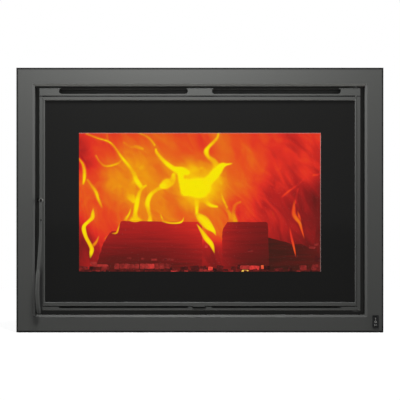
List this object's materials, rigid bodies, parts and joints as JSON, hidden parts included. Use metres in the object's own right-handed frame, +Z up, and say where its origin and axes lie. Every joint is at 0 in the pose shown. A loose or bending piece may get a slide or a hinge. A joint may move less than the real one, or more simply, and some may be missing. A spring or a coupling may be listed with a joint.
{
  "type": "built-in wood-burning fireplace insert",
  "caption": "Built-in fireplace insert with a flat steel surround, glazed hinged door, lined firebox, flue collar and hot-air fan.",
  "frame": {"origin": "centre of the casing's underside, on the hearth that the insert stands on", "axes": "+X to the right of someone facing the fire, +Y back into the chimney recess, +Z up"},
  "size_m": [0.7, 0.4574, 0.505],
  "materials": {
    "anthracite_paint": "satin heat-proof paint, fine texture",
    "dark_paint": "matt heat-proof paint",
    "galvanised_sheet": "zinc-coated sheet, dull",
    "firebox_steel": "heat-blackened steel plate",
    "cast_iron": "rough casting",
    "bright_steel": "brushed",
    "fire_clay": "sooty vermiculite board",
    "glass_rope": "knitted glass-fibre rope",
    "ceramic_glass": "clear ceramic glass with a black printed border",
    "black_plastic": "moulded, semi-matt",
    "charred_wood": "burning split log",
    "ember": "glowing charcoal and ash"
  },
  "bodies": {
    "casing": {"surround_frame": "anthracite_paint", "surround_bracket_left": "galvanised_sheet", "surround_bracket_right": "galvanised_sheet", "front_frame": "dark_paint", "casing_left_side": "galvanised_sheet", "casing_right_side": "galvanised_sheet", "casing_back": "galvanised_sheet", "casing_top": "galvanised_sheet", "casing_base": "galvanised_sheet", "flue_collar": "firebox_steel", "hot_air_spigot_left": "galvanised_sheet", "hot_air_spigot_right": "galvanised_sheet", "firebox_left_wall": "firebox_steel", "firebox_right_wall": "firebox_steel", "firebox_back_wall": "firebox_steel", "firebox_roof": "firebox_steel", "firebox_floor": "firebox_steel", "lining_left": "fire_clay", "lining_right": "fire_clay", "lining_back": "fire_clay", "hearth_brick_left": "fire_clay", "hearth_brick_right": "fire_clay", "hearth_brick_front": "fire_clay", "hearth_brick_rear": "fire_clay", "baffle_plate": "fire_clay", "fire_grate": "cast_iron", "ash_pan": "galvanised_sheet", "log_guard": "cast_iron", "ember_bed": "ember", "log_left": "charred_wood", "log_right": "charred_wood", "log_chunk": "charred_wood", "blower_housing": "galvanised_sheet", "blower_motor": "dark_paint", "blower_bearing": "dark_paint", "intake_grille": "galvanised_sheet", "terminal_box": "black_plastic", "cable_gland": "black_plastic", "switch_body": "black_plastic", "hinge_bracket_top": "dark_paint", "hinge_bracket_bottom": "dark_paint", "hinge_pin_top": "bright_steel", "hinge_pin_bottom": "bright_steel", "catch_plate": "dark_paint"},
    "door": {"door_frame": "anthracite_paint", "glass_bezel": "anthracite_paint", "door_glass": "ceramic_glass", "glass_gasket": "glass_rope", "door_seal": "glass_rope", "glass_clip_1": "galvanised_sheet", "glass_clip_2": "galvanised_sheet", "glass_clip_3": "galvanised_sheet", "glass_clip_4": "galvanised_sheet"},
    "handle": {"handle_lever": "anthracite_paint", "handle_grip": "anthracite_paint", "latch_shaft": "bright_steel", "latch_tongue": "firebox_steel"},
    "slider": {"air_slider": "anthracite_paint"},
    "rocker": {"switch_rocker": "black_plastic"},
    "fan_wheel": {"blower_wheel": "bright_steel"}
  },
  "joints": [
    {"name": "door_swing", "type": "hinge", "parent": "casing", "child": "door", "pos_m": [0.299, -0.218, 0.25], "axis": [0, 0, 1], "range_deg": [0, 110]},
    {"name": "handle_turn", "type": "hinge", "parent": "door", "child": "handle", "pos_m": [-0.3027, -0.224, 0.252], "axis": [0, 1, 0], "range_deg": [0, 60]},
    {"name": "air_slide", "type": "slide", "parent": "door", "child": "slider", "axis": [1, 0, 0], "range_m": [-0.01, 0.01]},
    {"name": "switch_tip", "type": "hinge", "parent": "casing", "child": "rocker", "pos_m": [0.3343, -0.229, 0.0213], "axis": [1, 0, 0], "range_deg": [-8, 8]},
    {"name": "fan_spin", "type": "hinge", "parent": "casing", "child": "fan_wheel", "pos_m": [0, 0.164, 0.0315], "axis": [1, 0, 0], "continuous": true}
  ]
}
